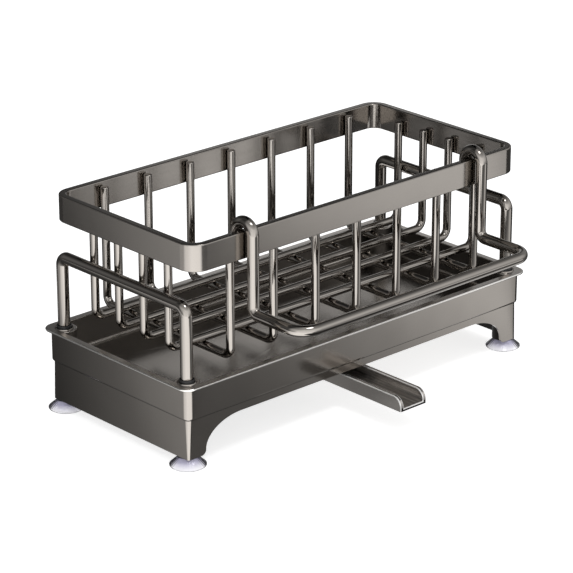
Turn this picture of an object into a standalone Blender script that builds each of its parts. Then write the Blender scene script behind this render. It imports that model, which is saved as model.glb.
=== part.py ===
"""Counter-top sink caddy: a wire basket with a towel bar, in a drip tray on a low stand with a pull-out spout.

Metres, +Z up. The long side runs along X and the front, with the towel bar and the spout, faces -Y.
Every piece is placed from the middle of the stand, on the counter. The whole caddy hangs on one empty, which
puts the world origin at the middle of its full footprint, towel bar and spout included.
"""

import math

import bmesh
import bpy
from mathutils import Vector

# Fits
GAP = 0.0003            # left between two pieces that touch
OVERRUN = 0.001         # how far a cutter runs past the face it opens

# Basket band, a flat bar bent to a rounded rectangle
BAND_LENGTH = 0.2802
BAND_DEPTH = 0.1340
BAND_HEIGHT = 0.0174
BAND_THICK = 0.0050
BAND_CORNER = 0.0118
BAND_EDGE = 0.0014
BASKET_RISE = 0.0709    # tray rim to the band's lower edge

# Basket wires
WIRE_RADIUS = 0.0027
WIRE_BEND = 0.006
CROSS_COUNT = 7
CROSS_LEFT = 0.0363     # band's left end to the first cross wire
CROSS_RIGHT = 0.03205   # last cross wire to the band's right end
CROSS_DROP = 0.0028     # band's top edge down to the cross wires' tips
LONG_COUNT = 4
LONG_FRONT = 0.03205    # band's front to the first long wire
LONG_BACK = 0.03145     # last long wire to the band's back
LONG_DROP = 0.0068      # band's top edge down to the long wires' tips
BASKET_CLEARANCE = 0.0040   # tray rim to the underside of the cross wires

# End loops
LOOP_RADIUS = 0.0039
LOOP_RISE = 0.0478      # tray rim to the middle of the loop's top bar
LOOP_BEND = 0.0055

# Leg caps and the sockets that they stand in
CAP_WALL = 0.0005
CAP_FLOOR = 0.001
CAP_PROUD = 0.0023      # height of the cap above the tray's rim
SOCKET_DEPTH = 0.014
SOCKET_WALL = 0.0031
COLLAR_WALL = 0.0012
COLLAR_HEIGHT = 0.0006

# Towel bar, one bent rod with a hook at each end
TOWEL_RADIUS = 0.0037
HOOK_FRONT_PLAY = 0.0015
HOOK_BACK_PLAY = 0.0011
HOOK_TIP_RISE = 0.0025  # band's lower edge to the hook's tip
HOOK_LEFT = 0.0069      # first cross wire to the left hook
HOOK_RIGHT = 0.0081     # right hook to the last cross wire
ARM_RISE = 0.0363       # tray rim to the middle of the arms
ARM_REACH = 0.0439      # hook's leg to the middle of the bar
ARM_BEND = 0.0052
BAR_BEND = 0.012

# Drip tray
RIM_BESIDE_LEG = 0.0103     # leg's middle to the rim's edge, along X
RIM_BEFORE_LEG = 0.0116     # leg's middle to the rim's edge, along Y
RIM_CORNER = 0.0082
RIM_THICK = 0.0016
RIM_EDGE = 0.0005
LIP = 0.0038            # rim's edge to the tray's wall
LIP_COVE = 0.0010
TRAY_HEIGHT = 0.0229
TRAY_WALL = 0.0013
TRAY_FLOOR = 0.0012
SPIGOT_DEPTH = 0.002    # how far the tray's underside sinks into the stand
SPIGOT_PLAY = 0.0006
SPIGOT_CORNER = 0.0006  # inside of the spigot's corners
SPIGOT_WALL = 0.0012

# Drain, in the middle of the tray
DRAIN_RADIUS = 0.004
NOZZLE_RADIUS = 0.006
NOZZLE_LENGTH = 0.0075
DISH_RADIUS = 0.014
DISH_DEPTH = 0.0006

# Stand
STAND_INSET = 0.0014    # tray's wall to the stand's wall
STAND_HEIGHT = 0.0256
STAND_WALL = 0.0015
STAND_EDGE = 0.0006
POST_RADIUS = 0.0074
ARCH_FOOT = 0.0143      # stand's end to the side of the arch
ARCH_RISE = 0.0208
ARCH_CURVE = 0.029
FOOT_ROUND = 0.0035

# Suction cups
CUP_LIFT = 0.006        # counter to the underside of the stand
CUP_RADIUS = 0.0115
CUP_LIP = 0.0008
CUP_RING = 0.0018       # width of the flat ring that meets the counter
CUP_SHOULDER = 0.0056
CUP_HOLLOW = 0.0032
STEM_RADIUS = 0.004
STEM_LENGTH = 0.0085
STEM_CHAMFER = 0.0012

# Spout
SPOUT_WIDTH = 0.0224
SPOUT_HEIGHT = 0.0093
SPOUT_WALL = 0.0028     # the sides are folded back on themselves
SPOUT_FLOOR = 0.0018
SPOUT_NOSE = 0.0085
SPOUT_REACH = 0.0426    # tray's front edge to the spout's mouth
SPOUT_BEHIND = 0.012    # drain's middle to the spout's back wall
SPOUT_DROP = 0.0011     # nozzle down to the spout's top edge
RUNNER_WIDTH = 0.004
RUNNER_THICK = 0.0012
RUNNER_LENGTH = 0.048

# Bracket that the spout slides in
SHEET = 0.0012
BRACKET_WIDTH = 0.044
BRACKET_LIFT = 0.0002   # arch's top to the bracket's plate
RAIL_PLAY = 0.0005
SPOUT_TRAVEL = 0.045    # how far the spout pushes in from its front stop
NOZZLE_PLAY = 0.002

# Steps in round forms
CORNER_STEPS = 5
BEND_STEPS = 5
HOOK_STEPS = 6
FOOT_STEPS = 4
ARCH_STEPS = 7
NOSE_STEPS = 7
BELL_STEPS = 4
HOLLOW_STEPS = 3
TURN_STEPS = 24
BORE_SIDES = 20
WIRE_SIDES = 3          # bevel resolution of the basket's wires
ROD_SIDES = 4           # and of the thicker rods
SMOOTH_UNDER = 35       # degrees between faces that are shaded as one
EASE_OVER = 50          # degrees between faces whose edge is eased

# Heights
STAND_BASE = CUP_LIFT
SEAM = STAND_BASE + STAND_HEIGHT
SPIGOT_SEAT = SEAM - SPIGOT_DEPTH - SPIGOT_PLAY
TRAY_BASE = SEAM + GAP
RIM = SEAM + TRAY_HEIGHT
BAND_BASE = RIM + BASKET_RISE
BAND_TOP = BAND_BASE + BAND_HEIGHT
CROSS_FLOOR = RIM + BASKET_CLEARANCE + WIRE_RADIUS
LONG_FLOOR = CROSS_FLOOR + 2 * WIRE_RADIUS + GAP
LOOP_TOP = RIM + LOOP_RISE
SOCKET_FLOOR = RIM - SOCKET_DEPTH
ARM = RIM + ARM_RISE
SPOUT_TOP = SEAM - NOZZLE_LENGTH - SPOUT_DROP
SPOUT_BASE = SPOUT_TOP - SPOUT_HEIGHT

# Places in plan, from the middle of the stand
WIRE_INSET = BAND_THICK + GAP + WIRE_RADIUS
CROSS_END = BAND_DEPTH / 2 - WIRE_INSET
LONG_END = BAND_LENGTH / 2 - WIRE_INSET
LEG_X = LONG_END + WIRE_RADIUS + GAP + LOOP_RADIUS
LEG_Y = CROSS_END
RIM_LENGTH = 2 * (LEG_X + RIM_BESIDE_LEG)
RIM_DEPTH = 2 * (LEG_Y + RIM_BEFORE_LEG)
TRAY_LENGTH = RIM_LENGTH - 2 * LIP
TRAY_DEPTH = RIM_DEPTH - 2 * LIP
STAND_LENGTH = TRAY_LENGTH - 2 * STAND_INSET
STAND_DEPTH = TRAY_DEPTH - 2 * STAND_INSET
CAP_BORE = LOOP_RADIUS + GAP
CAP_RADIUS = CAP_BORE + CAP_WALL
SOCKET_RADIUS = CAP_RADIUS + GAP
BAR_FRONT = BAND_DEPTH / 2 + HOOK_FRONT_PLAY + 2 * TOWEL_RADIUS + ARM_REACH
SPOUT_FRONT = RIM_DEPTH / 2 + SPOUT_REACH
STAND_BACK_SHIFT = (max(BAR_FRONT, SPOUT_FRONT) - RIM_DEPTH / 2) / 2

NICKEL = ((0.30, 0.285, 0.265), 1.0, 0.16)
BLACK_PLASTIC = ((0.02, 0.02, 0.02), 0.0, 0.45)
CLEAR_PVC = ((0.70, 0.70, 0.78), 0.0, 0.15)

for leftover in list(bpy.data.objects):
    bpy.data.objects.remove(leftover)

caddy_parts = bpy.data.collections.new("sink_caddy")
cutters = bpy.data.collections.new("cutters")
bpy.context.scene.collection.children.link(caddy_parts)
bpy.context.scene.collection.children.link(cutters)

caddy = bpy.data.objects.new("caddy", None)
caddy.location = (0, STAND_BACK_SHIFT, 0)
caddy_parts.objects.link(caddy)


def place(obj, collection=caddy_parts):
    """Puts an object in its collection, under the empty in the middle of the stand."""
    collection.objects.link(obj)
    obj.parent = caddy
    if collection is cutters:
        obj.hide_render = True
        obj.display_type = "WIRE"
    return obj


def finish(obj, look):
    """Gives a piece its own material and smooth shading on its round faces."""
    colour, metallic, roughness = look
    material = bpy.data.materials.new(obj.name + "_finish")
    material.use_nodes = True
    shader = material.node_tree.nodes["Principled BSDF"]
    shader.inputs["Base Color"].default_value = (*colour, 1)
    shader.inputs["Metallic"].default_value = metallic
    shader.inputs["Roughness"].default_value = roughness
    obj.data.materials.append(material)
    if obj.type == "MESH":
        obj.data.shade_smooth()
        obj.data.set_sharp_from_angle(angle=math.radians(SMOOTH_UNDER))
    return obj


def arc(middle, radius, start, end, steps):
    """Points on an arc from one angle to the other, in degrees, both ends included."""
    angles = [math.radians(start + (end - start) * step / steps) for step in range(steps + 1)]
    return [(middle[0] + radius * math.cos(a), middle[1] + radius * math.sin(a)) for a in angles]


def rounded_rectangle(length, depth, corner):
    """A rectangle with round corners about the middle, counterclockwise."""
    x, y = length / 2 - corner, depth / 2 - corner
    points = arc((x, y), corner, 0, 90, CORNER_STEPS)
    points += arc((-x, y), corner, 90, 180, CORNER_STEPS)
    points += arc((-x, -y), corner, 180, 270, CORNER_STEPS)
    points += arc((x, -y), corner, 270, 360, CORNER_STEPS)
    return points


def notched_rectangle(length, depth, radius):
    """The same rectangle where its corners go round the four legs, at a radius, on their inner side."""
    beside, before = length / 2 - LEG_X, depth / 2 - LEG_Y
    start = -math.degrees(math.acos(beside / radius))
    end = -180 - math.degrees(math.asin(before / radius))
    corner = arc((LEG_X, LEG_Y), radius, start, end, 2 * CORNER_STEPS)
    points = list(corner)
    points += [(-x, y) for x, y in reversed(corner)]
    points += [(-x, -y) for x, y in corner]
    points += [(x, -y) for x, y in reversed(corner)]
    return points


def mesh_object(name, shape, collection):
    """Turns a bmesh into an object, with its faces pointing out."""
    bmesh.ops.recalc_face_normals(shape, faces=shape.faces)
    mesh = bpy.data.meshes.new(name)
    shape.to_mesh(mesh)
    shape.free()
    return place(bpy.data.objects.new(name, mesh), collection)


def loft(name, sections, collection=caddy_parts):
    """A closed solid through level outlines of equal count, each given with its height."""
    shape = bmesh.new()
    rings = [[shape.verts.new((x, y, z)) for x, y in outline] for outline, z in sections]
    shape.faces.new(rings[0])
    shape.faces.new(rings[-1])
    for low, high in zip(rings, rings[1:]):
        for i in range(len(low)):
            j = (i + 1) % len(low)
            shape.faces.new((low[i], low[j], high[j], high[i]))
    return mesh_object(name, shape, collection)


def side_prism(name, outline, start, end, along, collection=cutters):
    """A prism whose outline stands upright: in XZ when it runs along Y, and in YZ when it runs along X."""
    shape = bmesh.new()
    if along == "Y":
        points = [shape.verts.new((u, start, w)) for u, w in outline]
        travel = Vector((0, end - start, 0))
    else:
        points = [shape.verts.new((start, u, w)) for u, w in outline]
        travel = Vector((end - start, 0, 0))
    pushed = bmesh.ops.extrude_face_region(shape, geom=[shape.faces.new(points)])
    moved = [item for item in pushed["geom"] if isinstance(item, bmesh.types.BMVert)]
    bmesh.ops.translate(shape, verts=moved, vec=travel)
    return mesh_object(name, shape, collection)


def box(name, low, high):
    """A box between two corners, for cutting or joining."""
    outline = [(low[0], low[1]), (high[0], low[1]), (high[0], high[1]), (low[0], high[1])]
    return loft(name, [(outline, low[2]), (outline, high[2])], cutters)


def pegs(name, places, radius, low, high, sides=BORE_SIDES):
    """Upright cylinders between two heights, all in one cutter."""
    shape = bmesh.new()
    for x, y in places:
        made = bmesh.ops.create_cone(
            shape, cap_ends=True, segments=sides, radius1=radius, radius2=radius, depth=high - low
        )
        bmesh.ops.translate(shape, verts=made["verts"], vec=(x, y, (low + high) / 2))
    return mesh_object(name, shape, cutters)


def combine(obj, tool, operation="DIFFERENCE"):
    """Cuts a tool out of a piece, or joins it on."""
    modifier = obj.modifiers.new(tool.name, "BOOLEAN")
    modifier.object = tool
    modifier.operation = operation
    modifier.solver = "EXACT"


def turned(name, profile, x, y):
    """A round piece from a profile of radius and height, listed from the top down its outer side."""
    mesh = bpy.data.meshes.new(name)
    points = [(radius, 0, height) for radius, height in profile]
    mesh.from_pydata(points, [(i, i + 1) for i in range(len(points) - 1)], [])
    obj = place(bpy.data.objects.new(name, mesh))
    obj.location = (x, y, 0)
    screw = obj.modifiers.new("turn", "SCREW")
    screw.steps = screw.render_steps = TURN_STEPS
    screw.use_merge_vertices = True
    screw.merge_threshold = 0.00005
    return obj


def bent(corners, radii, steps=BEND_STEPS):
    """The points of a wire through these corners, each inner corner rounded to its bend radius."""
    corners = [Vector(corner) for corner in corners]
    points = [corners[0]]
    for before, here, after, radius in zip(corners, corners[1:], corners[2:], radii):
        back, ahead = (before - here).normalized(), (after - here).normalized()
        half = back.angle(ahead) / 2
        middle = here + (back + ahead).normalized() * radius / math.sin(half)
        first = (here + back * radius / math.tan(half) - middle).normalized()
        last = (here + ahead * radius / math.tan(half) - middle).normalized()
        for step in range(steps + 1):
            point = middle + radius * first.slerp(last, step / steps)
            if (point - points[-1]).length > GAP:
                points.append(point)
    points.append(corners[-1])
    return points


def wire(name, points, radius, sides_step):
    """A round wire along the points. Its section has 4 sides and 2 more for each step."""
    curve = bpy.data.curves.new(name, "CURVE")
    curve.dimensions = "3D"
    curve.bevel_depth = radius
    curve.bevel_resolution = sides_step
    curve.use_fill_caps = True
    spline = curve.splines.new("POLY")
    spline.points.add(len(points) - 1)
    for point, place_on in zip(spline.points, points):
        point.co = (*place_on, 1)
    return place(bpy.data.objects.new(name, curve))


CORNERS = {
    "front_left": (-1, -1),
    "front_right": (1, -1),
    "back_left": (-1, 1),
    "back_right": (1, 1),
}
LEGS = [(sx * LEG_X, sy * LEG_Y) for sx, sy in CORNERS.values()]


def arch_outline():
    """The arch in a long side, in X and height: round-footed, with long quarter curves up to a level top."""
    side = STAND_LENGTH / 2 - ARCH_FOOT
    spring = STAND_BASE + FOOT_ROUND
    rise = ARCH_RISE - FOOT_ROUND
    foot = arc((side + FOOT_ROUND, spring), FOOT_ROUND, 270, 180, FOOT_STEPS)
    curve = []
    for step in range(1, ARCH_STEPS + 1):
        angle = math.radians(90 * step / ARCH_STEPS)
        across = side - ARCH_CURVE * (1 - math.cos(angle))
        curve.append((across, spring + rise * math.sin(angle)))
    half = [(side + FOOT_ROUND, STAND_BASE - OVERRUN)] + foot + curve
    return half + [(-x, z) for x, z in reversed(half)]


def make_stand():
    """The stand: a skirt with an arch in each long side, and a round post in each corner for a suction cup."""
    corner = RIM_CORNER - LIP - STAND_INSET
    bottom = rounded_rectangle(STAND_LENGTH - 2 * STAND_EDGE, STAND_DEPTH - 2 * STAND_EDGE, corner)
    outline = rounded_rectangle(STAND_LENGTH, STAND_DEPTH, corner)
    stand = loft("base_stand", [(bottom, STAND_BASE), (outline, STAND_BASE + STAND_EDGE), (outline, SEAM)])
    length, depth = STAND_LENGTH - 2 * STAND_WALL, STAND_DEPTH - 2 * STAND_WALL
    notched = notched_rectangle(length, depth, POST_RADIUS)
    hollow = loft("stand_hollow", [(notched, STAND_BASE - OVERRUN), (notched, SPIGOT_SEAT)], cutters)
    square = rounded_rectangle(length, depth, corner - STAND_WALL)
    top = loft("stand_seat", [(square, SPIGOT_SEAT - GAP), (square, SEAM + OVERRUN)], cutters)
    combine(stand, hollow)
    combine(stand, top)
    outside, inside = STAND_DEPTH / 2 + OVERRUN, depth / 2 - GAP
    for name, sign in (("front_arch", -1), ("back_arch", 1)):
        start, end = sorted((sign * outside, sign * inside))
        combine(stand, side_prism(name, arch_outline(), start, end, "Y"))
    bores = pegs("stem_bores", LEGS, STEM_RADIUS + GAP, STAND_BASE - OVERRUN, STAND_BASE + STEM_LENGTH + GAP)
    combine(stand, bores)
    return finish(stand, NICKEL)


def make_cup(corner, x, y):
    """A suction cup: a dished bell with a flat ring on the counter and a plug that pushes up into the stand."""
    top = CUP_LIFT - GAP
    hollow = CUP_RADIUS - CUP_RING
    tip = CUP_LIFT + STEM_LENGTH
    profile = [(0, tip), (STEM_RADIUS - STEM_CHAMFER, tip), (STEM_RADIUS, tip - STEM_CHAMFER)]
    profile.append((STEM_RADIUS, top))
    for step in range(BELL_STEPS + 1):
        share = step / BELL_STEPS
        radius = CUP_SHOULDER + (CUP_RADIUS - CUP_SHOULDER) * share
        profile.append((radius, CUP_LIP + (top - CUP_LIP) * (1 - share**2)))
    profile.append((CUP_RADIUS, 0))
    for step in range(HOLLOW_STEPS + 1):
        share = 1 - step / HOLLOW_STEPS
        profile.append((hollow * share, CUP_HOLLOW * (1 - share**2)))
    return finish(turned("suction_cup_" + corner, profile, x, y), CLEAR_PVC)


def make_tray():
    """The drip tray: a pan with an overhanging rim, a leg socket in each corner, and a drain with a nozzle."""
    length, depth = STAND_LENGTH - 2 * STAND_WALL, STAND_DEPTH - 2 * STAND_WALL
    corner = RIM_CORNER - LIP
    inner = corner - STAND_INSET - STAND_WALL - GAP
    spigot = rounded_rectangle(length - 2 * GAP, depth - 2 * GAP, inner)
    wall = rounded_rectangle(TRAY_LENGTH, TRAY_DEPTH, corner)
    rim = rounded_rectangle(RIM_LENGTH, RIM_DEPTH, RIM_CORNER)
    rim_top = rounded_rectangle(RIM_LENGTH - 2 * RIM_EDGE, RIM_DEPTH - 2 * RIM_EDGE, RIM_CORNER - RIM_EDGE)
    sections = [(spigot, SEAM - SPIGOT_DEPTH), (spigot, TRAY_BASE), (wall, TRAY_BASE)]
    sections += [(wall, RIM - RIM_THICK - LIP_COVE), (rim, RIM - RIM_THICK)]
    sections += [(rim, RIM - RIM_EDGE), (rim_top, RIM)]
    tray = loft("drip_tray", sections)

    thick = 2 * TRAY_WALL
    pan = notched_rectangle(TRAY_LENGTH - thick, TRAY_DEPTH - thick, SOCKET_RADIUS + SOCKET_WALL)
    floor = TRAY_BASE + TRAY_FLOOR
    combine(tray, loft("tray_pan", [(pan, floor), (pan, RIM + OVERRUN)], cutters))
    inset = 2 * (GAP + SPIGOT_WALL)
    under = rounded_rectangle(length - inset, depth - inset, SPIGOT_CORNER)
    low = SEAM - SPIGOT_DEPTH - OVERRUN
    combine(tray, loft("tray_underside", [(under, low), (under, TRAY_BASE)], cutters))

    nozzle = pegs("drain_nozzle", [(0, 0)], NOZZLE_RADIUS, SEAM - NOZZLE_LENGTH, TRAY_BASE + TRAY_FLOOR / 2)
    combine(tray, nozzle, "UNION")
    dish = bmesh.new()
    made = bmesh.ops.create_cone(
        dish,
        cap_ends=True,
        segments=BORE_SIDES,
        radius1=DRAIN_RADIUS,
        radius2=DISH_RADIUS * (1 + OVERRUN / DISH_DEPTH),
        depth=DISH_DEPTH + OVERRUN,
    )
    bmesh.ops.translate(dish, verts=made["verts"], vec=(0, 0, floor + (OVERRUN - DISH_DEPTH) / 2))
    combine(tray, mesh_object("drain_dish", dish, cutters))
    low, high = SEAM - NOZZLE_LENGTH - OVERRUN, RIM
    combine(tray, pegs("drain_bore", [(0, 0)], DRAIN_RADIUS, low, high))

    low, high = RIM - RIM_THICK, RIM + COLLAR_HEIGHT
    collars = pegs("collars", LEGS, SOCKET_RADIUS + COLLAR_WALL, low, high, TURN_STEPS)
    combine(tray, collars, "UNION")
    combine(tray, pegs("leg_sockets", LEGS, SOCKET_RADIUS, SOCKET_FLOOR, RIM + OVERRUN, TURN_STEPS))
    return finish(tray, NICKEL)


def make_bracket():
    """The bracket under the tray: a plate from wall to wall, with a C rail, closed by stops, on each side."""
    wall = STAND_DEPTH / 2 - STAND_WALL - GAP
    plate = STAND_BASE + ARCH_RISE + BRACKET_LIFT
    tab = SPIGOT_SEAT
    outline = [(-wall, plate), (wall, plate), (wall, tab), (wall - SHEET, tab), (wall - SHEET, plate + SHEET)]
    outline += [(SHEET - wall, plate + SHEET), (SHEET - wall, tab), (-wall, tab)]
    bracket = side_prism("spout_bracket", outline, -BRACKET_WIDTH / 2, BRACKET_WIDTH / 2, "X", caddy_parts)

    lip = SPOUT_WIDTH / 2 + RAIL_PLAY
    inner = SPOUT_WIDTH / 2 + RUNNER_WIDTH + RAIL_PLAY
    outer = inner + SHEET
    over = SPOUT_TOP + GAP
    under = SPOUT_TOP - RUNNER_THICK - GAP
    rail = [(lip, under - SHEET), (outer, under - SHEET), (outer, plate + SHEET / 2)]
    rail += [(inner, plate + SHEET / 2), (inner, over + SHEET), (lip, over + SHEET), (lip, over)]
    rail += [(inner, over), (inner, under), (lip, under)]
    front = SPOUT_BEHIND - RUNNER_LENGTH - GAP
    back = SPOUT_BEHIND + SPOUT_TRAVEL + GAP
    for side, sign in (("left", -1), ("right", 1)):
        outline = [(sign * x, z) for x, z in rail]
        combine(bracket, side_prism(side + "_rail", outline, front - SHEET, back + SHEET, "Y"), "UNION")
        near, far = sorted((sign * (lip + SHEET / 4), sign * (inner + SHEET / 2)))
        for end, start in (("front", front - SHEET), ("back", back)):
            low = (near, start, under - SHEET / 2)
            stop = box(f"{side}_{end}_stop", low, (far, start + SHEET, over + SHEET / 2))
            combine(bracket, stop, "UNION")
    hole = pegs("nozzle_hole", [(0, 0)], NOZZLE_RADIUS + NOZZLE_PLAY, plate - OVERRUN, plate + SHEET + OVERRUN)
    combine(bracket, hole)
    return finish(bracket, NICKEL)


def make_spout():
    """The spout: an open channel with round-nosed sides, and a runner on each side at its back end."""
    front, back = -SPOUT_FRONT, SPOUT_BEHIND
    half = SPOUT_WIDTH / 2
    outline = [(front, SPOUT_BASE), (back, SPOUT_BASE), (back, SPOUT_TOP)]
    outline += arc((front + SPOUT_NOSE, SPOUT_TOP - SPOUT_NOSE), SPOUT_NOSE, 90, 180, NOSE_STEPS)
    spout = side_prism("drain_spout", outline, -half, half, "X", caddy_parts)
    for name, sign in (("right_runner", 1), ("left_runner", -1)):
        near, far = sorted((sign * (half - SPOUT_WALL / 2), sign * (half + RUNNER_WIDTH)))
        low = (near, back - RUNNER_LENGTH, SPOUT_TOP - RUNNER_THICK)
        combine(spout, box(name, low, (far, back, SPOUT_TOP)), "UNION")
    low = (SPOUT_WALL - half, front - OVERRUN, SPOUT_BASE + SPOUT_FLOOR)
    combine(spout, box("spout_channel", low, (half - SPOUT_WALL, back - SPOUT_WALL, SPOUT_TOP + OVERRUN)))
    return finish(spout, NICKEL)


def make_band():
    """The basket's band: a strip with the bar's thickness behind it and its edges eased."""
    outline = rounded_rectangle(BAND_LENGTH, BAND_DEPTH, BAND_CORNER)
    shape = bmesh.new()
    low = [shape.verts.new((x, y, BAND_BASE)) for x, y in outline]
    high = [shape.verts.new((x, y, BAND_TOP)) for x, y in outline]
    for i in range(len(outline)):
        j = (i + 1) % len(outline)
        shape.faces.new((low[i], low[j], high[j], high[i]))
    mesh = bpy.data.meshes.new("rim_band")
    shape.to_mesh(mesh)
    shape.free()
    band = place(bpy.data.objects.new("rim_band", mesh))
    thick = band.modifiers.new("thickness", "SOLIDIFY")
    thick.thickness = BAND_THICK
    thick.offset = -1
    thick.use_even_offset = True
    ease = band.modifiers.new("eased_edges", "BEVEL")
    ease.width = BAND_EDGE
    ease.segments = 2
    ease.limit_method = "ANGLE"
    ease.angle_limit = math.radians(EASE_OVER)
    return finish(band, NICKEL)


def make_cross_wire(name, x):
    """A wire down the front of the basket, back along its floor, and up the back."""
    tip = BAND_TOP - CROSS_DROP
    end, floor = CROSS_END, CROSS_FLOOR
    corners = [(x, -end, tip), (x, -end, floor), (x, end, floor), (x, end, tip)]
    return finish(wire(name, bent(corners, (WIRE_BEND, WIRE_BEND)), WIRE_RADIUS, WIRE_SIDES), NICKEL)


def make_long_wire(name, y):
    """A wire down the left end of the basket, along its floor on the cross wires, and up the right end."""
    tip = BAND_TOP - LONG_DROP
    end, floor = LONG_END, LONG_FLOOR
    corners = [(-end, y, tip), (-end, y, floor), (end, y, floor), (end, y, tip)]
    return finish(wire(name, bent(corners, (WIRE_BEND, WIRE_BEND)), WIRE_RADIUS, WIRE_SIDES), NICKEL)


def make_loop(name, x):
    """A thick rod loop at one end of the basket, whose two legs carry it in the tray's sockets."""
    foot = SOCKET_FLOOR + 2 * GAP + CAP_FLOOR
    corners = [(x, -LEG_Y, foot), (x, -LEG_Y, LOOP_TOP), (x, LEG_Y, LOOP_TOP), (x, LEG_Y, foot)]
    return finish(wire(name, bent(corners, (LOOP_BEND, LOOP_BEND)), LOOP_RADIUS, ROD_SIDES), NICKEL)


def make_cap(corner, x, y):
    """A black cap on the foot of a leg, standing in its socket and showing as a ring above it."""
    base = SOCKET_FLOOR + GAP
    top = RIM + CAP_PROUD
    profile = [(CAP_BORE, base + CAP_FLOOR), (CAP_BORE, top), (CAP_RADIUS, top), (CAP_RADIUS, base)]
    profile = [(0, base + CAP_FLOOR)] + profile + [(0, base)]
    return finish(turned("leg_cap_" + corner, profile, x, y), BLACK_PLASTIC)


def make_towel_bar(left, right):
    """The towel bar: one rod that hooks over the band at each end, drops, comes forward and runs across."""
    leg = -(BAND_DEPTH / 2 + HOOK_FRONT_PLAY + TOWEL_RADIUS)
    tip = -(BAND_DEPTH / 2 - BAND_THICK - HOOK_BACK_PLAY - TOWEL_RADIUS)
    bend = (tip - leg) / 2
    band_reach = BAND_THICK / 2 + abs(HOOK_FRONT_PLAY - HOOK_BACK_PLAY) / 2
    seat = BAND_TOP + GAP - math.sqrt((bend - TOWEL_RADIUS) ** 2 - band_reach**2)
    crown = seat + bend
    end = BAND_BASE + HOOK_TIP_RISE
    bar = leg - ARM_REACH
    corners = [(left, tip, end), (left, tip, crown), (left, leg, crown), (left, leg, ARM), (left, bar, ARM)]
    corners += [(right, bar, ARM), (right, leg, ARM), (right, leg, crown), (right, tip, crown)]
    corners.append((right, tip, end))
    radii = [bend, bend, ARM_BEND, BAR_BEND, BAR_BEND, ARM_BEND, bend, bend]
    return finish(wire("towel_bar", bent(corners, radii, HOOK_STEPS), TOWEL_RADIUS, ROD_SIDES), NICKEL)


def spread(start, end, count):
    """Evenly spaced places from one end to the other."""
    return [start + (end - start) * i / (count - 1) for i in range(count)]


cross_places = spread(CROSS_LEFT - BAND_LENGTH / 2, BAND_LENGTH / 2 - CROSS_RIGHT, CROSS_COUNT)
long_places = spread(LONG_FRONT - BAND_DEPTH / 2, BAND_DEPTH / 2 - LONG_BACK, LONG_COUNT)

make_stand()
make_bracket()
make_spout()
make_tray()
make_band()
for number, x in enumerate(cross_places, 1):
    make_cross_wire(f"cross_wire_{number}", x)
for number, y in enumerate(long_places, 1):
    make_long_wire(f"long_wire_{number}", y)
make_loop("end_loop_left", -LEG_X)
make_loop("end_loop_right", LEG_X)
for corner_name, (leg_x, leg_y) in zip(CORNERS, LEGS):
    make_cup(corner_name, leg_x, leg_y)
    make_cap(corner_name, leg_x, leg_y)
make_towel_bar(cross_places[0] + HOOK_LEFT, cross_places[-1] - HOOK_RIGHT)
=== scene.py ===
import math

import bmesh
import bpy
from mathutils import Matrix, Vector


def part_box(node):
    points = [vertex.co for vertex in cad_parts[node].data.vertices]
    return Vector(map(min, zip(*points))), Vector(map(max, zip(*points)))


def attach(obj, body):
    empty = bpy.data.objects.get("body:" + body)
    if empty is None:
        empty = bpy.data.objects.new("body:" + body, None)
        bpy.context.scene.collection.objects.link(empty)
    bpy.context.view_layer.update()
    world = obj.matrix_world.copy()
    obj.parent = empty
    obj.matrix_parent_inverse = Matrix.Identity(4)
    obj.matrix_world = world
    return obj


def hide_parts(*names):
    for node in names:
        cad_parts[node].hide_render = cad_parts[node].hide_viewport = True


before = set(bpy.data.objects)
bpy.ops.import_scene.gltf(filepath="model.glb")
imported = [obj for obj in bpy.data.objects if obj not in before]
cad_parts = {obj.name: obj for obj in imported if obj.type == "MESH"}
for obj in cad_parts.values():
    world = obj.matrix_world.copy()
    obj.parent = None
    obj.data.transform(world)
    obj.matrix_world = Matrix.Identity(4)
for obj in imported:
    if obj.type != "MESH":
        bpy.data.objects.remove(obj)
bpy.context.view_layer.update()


# Stand. A skirt of steel sheet, folded up to four rounded corners, with an arch cut in each long side and a
# round post welded in each corner for a suction cup. It is polished, then plated black nickel.
stand_low, stand_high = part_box("base_stand")
MIDDLE = (stand_low + stand_high) / 2
STAND_LENGTH = stand_high.x - stand_low.x
STAND_DEPTH = stand_high.y - stand_low.y
STAND_BASE = stand_low.z
SEAM = stand_high.z
STAND_WALL = 0.0015
STAND_CORNER = 0.0030
STAND_CORNER_FOOT = 0.0016  # the corners sharpen towards the feet
ARCH_FOOT = 0.0143          # from the stand's end to the side of the arch
ARCH_RISE = 0.0208
ARCH_CURVE = 0.029
ARCH_STEPS = 24
FOOT_ROUND = 0.0035
FOOT_FROM, FOOT_TO = 268, 184  # degrees round the curve between the foot and the arch
FOOT_STEPS = 8
SHEET_EDGE = 0.00035
CORNER_STEPS = 12
SKIRT_ROWS = 10
GAP = 0.0003                # between pieces that are seated, pressed or welded together
SHARP_BEND = math.radians(50)

NICKEL_LIGHT = (0.322, 0.300, 0.276)
NICKEL_DARK = (0.278, 0.257, 0.236)
# Near black tones of painted shade, for the stand's inside, its posts and the spout's folded end.
PAINTED_SHADE_LIGHT = (0.026, 0.024, 0.022)
PAINTED_SHADE_DARK = (0.012, 0.011, 0.010)
CLOUD_SCALE = 38
CLOUD_ROUGHNESS = 0.04
POLISH_SCALE = 900
POLISH_DEPTH = 0.000001
POLISH_ROUGHNESS = 0.06
WAVE_SCALE = 55


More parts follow.
